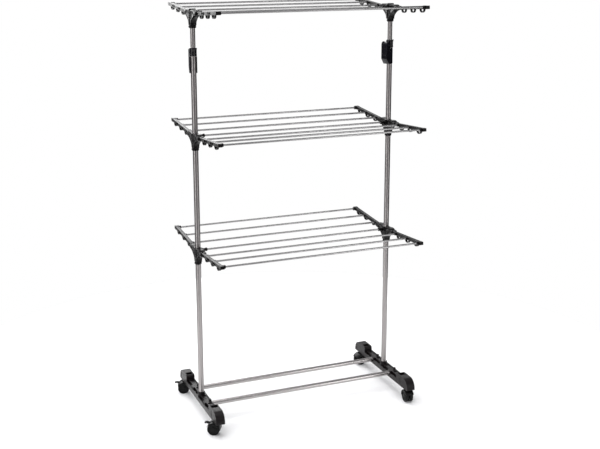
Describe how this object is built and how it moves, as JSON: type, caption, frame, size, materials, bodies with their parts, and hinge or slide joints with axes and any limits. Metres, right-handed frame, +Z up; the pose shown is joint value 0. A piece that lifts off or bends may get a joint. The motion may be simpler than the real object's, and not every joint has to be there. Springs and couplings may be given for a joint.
{
  "type": "clothes drying rack",
  "caption": "Rolling tower airer: wheeled feet, telescopic steel posts and stacked folding wings of steel rods with hanger loops.",
  "frame": {"origin": "on the floor, below the middle of the overall box; the posts stand evenly about a point slightly towards +X, because the brake pedals stand out at -X", "axes": "+X along the hanging rods towards the right post, +Y through the depth towards the back wings, +Z up"},
  "size_m": [0.9114, 0.627, 1.6609],
  "materials": {
    "polished_tube": "polished stainless tube with soft streaks",
    "rod_steel": "satin drawn steel",
    "moulded_black": "fine-grained charcoal moulding",
    "gloss_black": "smooth glossy moulding",
    "wheel_black": "hard black wheel plastic"
  },
  "bodies": {
    "frame": {"foot_left": "moulded_black", "foot_right": "moulded_black", "base_tube_front": "polished_tube", "base_tube_back": "polished_tube", "post_outer_left": "polished_tube", "post_outer_right": "polished_tube", "hub_lower_left": "moulded_black", "hub_lower_right": "moulded_black", "hub_middle_left": "moulded_black", "hub_middle_right": "moulded_black", "rod_lower_middle": "rod_steel", "rod_middle_middle": "rod_steel", "clamp_body_left": "gloss_black", "clamp_body_right": "gloss_black"},
    "top_section": {"post_inner_left": "polished_tube", "post_inner_right": "polished_tube", "hub_top_left": "moulded_black", "hub_top_right": "moulded_black", "rod_top_middle": "rod_steel"},
    "wing_lower_front": {"arm_lower_front_left": "moulded_black", "arm_lower_front_right": "moulded_black", "rod_lower_front_inner": "rod_steel", "rod_lower_front_mid": "rod_steel", "rod_lower_front_outer": "rod_steel"},
    "wing_lower_back": {"arm_lower_back_left": "moulded_black", "arm_lower_back_right": "moulded_black", "rod_lower_back_inner": "rod_steel", "rod_lower_back_mid": "rod_steel", "rod_lower_back_outer": "rod_steel"},
    "wing_middle_front": {"arm_middle_front_left": "moulded_black", "arm_middle_front_right": "moulded_black", "rod_middle_front_inner": "rod_steel", "rod_middle_front_mid": "rod_steel", "rod_middle_front_outer": "rod_steel"},
    "wing_middle_back": {"arm_middle_back_left": "moulded_black", "arm_middle_back_right": "moulded_black", "rod_middle_back_inner": "rod_steel", "rod_middle_back_mid": "rod_steel", "rod_middle_back_outer": "rod_steel"},
    "wing_top_front": {"arm_top_front_left": "moulded_black", "arm_top_front_right": "moulded_black", "rod_top_front_inner": "rod_steel", "rod_top_front_mid": "rod_steel", "rod_top_front_outer": "rod_steel"},
    "wing_top_back": {"arm_top_back_left": "moulded_black", "arm_top_back_right": "moulded_black", "rod_top_back_inner": "rod_steel", "rod_top_back_mid": "rod_steel", "rod_top_back_outer": "rod_steel"},
    "lever_left": {"clamp_lever_left": "gloss_black"},
    "lever_right": {"clamp_lever_right": "gloss_black"},
    "caster_front_left": {"caster_fork_front_left": "moulded_black"},
    "wheels_front_left": {"caster_wheels_front_left": "wheel_black"},
    "caster_rear_left": {"caster_fork_rear_left": "moulded_black"},
    "wheels_rear_left": {"caster_wheels_rear_left": "wheel_black"},
    "caster_front_right": {"caster_fork_front_right": "moulded_black"},
    "wheels_front_right": {"caster_wheels_front_right": "wheel_black"},
    "caster_rear_right": {"caster_fork_rear_right": "moulded_black"},
    "wheels_rear_right": {"caster_wheels_rear_right": "wheel_black"}
  },
  "joints": [
    {"name": "top_slide", "type": "slide", "parent": "frame", "child": "top_section", "axis": [0, 0, 1], "range_m": [-0.06, 0.3]},
    {"name": "wing_lower_front_hinge", "type": "hinge", "parent": "frame", "child": "wing_lower_front", "pos_m": [0.01635, -0.07, 0.701], "axis": [-1, 0, 0], "range_deg": [0, 86]},
    {"name": "wing_lower_back_hinge", "type": "hinge", "parent": "frame", "child": "wing_lower_back", "pos_m": [0.01635, 0.07, 0.701], "axis": [1, 0, 0], "range_deg": [0, 86]},
    {"name": "wing_middle_front_hinge", "type": "hinge", "parent": "frame", "child": "wing_middle_front", "pos_m": [0.01635, -0.07, 1.164], "axis": [-1, 0, 0], "range_deg": [0, 86]},
    {"name": "wing_middle_back_hinge", "type": "hinge", "parent": "frame", "child": "wing_middle_back", "pos_m": [0.01635, 0.07, 1.164], "axis": [1, 0, 0], "range_deg": [0, 86]},
    {"name": "wing_top_front_hinge", "type": "hinge", "parent": "top_section", "child": "wing_top_front", "pos_m": [0.01635, -0.07, 1.638], "axis": [-1, 0, 0], "range_deg": [0, 86]},
    {"name": "wing_top_back_hinge", "type": "hinge", "parent": "top_section", "child": "wing_top_back", "pos_m": [0.01635, 0.07, 1.638], "axis": [1, 0, 0], "range_deg": [0, 86]},
    {"name": "clamp_lever_left_hinge", "type": "hinge", "parent": "frame", "child": "lever_left", "pos_m": [-0.39948, 0.02363, 1.488], "axis": [0.9848, -0.1736, 0], "range_deg": [0, 85]},
    {"name": "clamp_lever_right_hinge", "type": "hinge", "parent": "frame", "child": "lever_right", "pos_m": [0.41442, -0.00976, 1.488], "axis": [-0.4067, 0.9135, 0], "range_deg": [0, 85]},
    {"name": "caster_front_left_swivel", "type": "hinge", "parent": "frame", "child": "caster_front_left", "pos_m": [-0.40365, -0.214, 0.066], "axis": [0, 0, 1], "continuous": true},
    {"name": "wheels_front_left_spin", "type": "hinge", "parent": "caster_front_left", "child": "wheels_front_left", "pos_m": [-0.41664, -0.2065, 0.02452], "axis": [-0.5, -0.866, 0], "continuous": true},
    {"name": "caster_rear_left_swivel", "type": "hinge", "parent": "frame", "child": "caster_rear_left", "pos_m": [-0.40365, 0.214, 0.066], "axis": [0, 0, 1], "continuous": true},
    {"name": "wheels_rear_left_spin", "type": "hinge", "parent": "caster_rear_left", "child": "wheels_rear_left", "pos_m": [-0.41814, 0.21788, 0.02452], "axis": [-0.2588, -0.9659, 0], "continuous": true},
    {"name": "caster_front_right_swivel", "type": "hinge", "parent": "frame", "child": "caster_front_right", "pos_m": [0.43635, -0.214, 0.066], "axis": [0, 0, 1], "continuous": true},
    {"name": "wheels_front_right_spin", "type": "hinge", "parent": "caster_front_right", "child": "wheels_front_right", "pos_m": [0.43504, -0.22894, 0.02452], "axis": [0.9962, -0.0872, 0], "continuous": true},
    {"name": "caster_rear_right_swivel", "type": "hinge", "parent": "frame", "child": "caster_rear_right", "pos_m": [0.43635, 0.214, 0.066], "axis": [0, 0, 1], "continuous": true},
    {"name": "wheels_rear_right_spin", "type": "hinge", "parent": "caster_rear_right", "child": "wheels_rear_right", "pos_m": [0.42158, 0.21139, 0.02452], "axis": [0.1736, -0.9848, 0], "continuous": true}
  ]
}
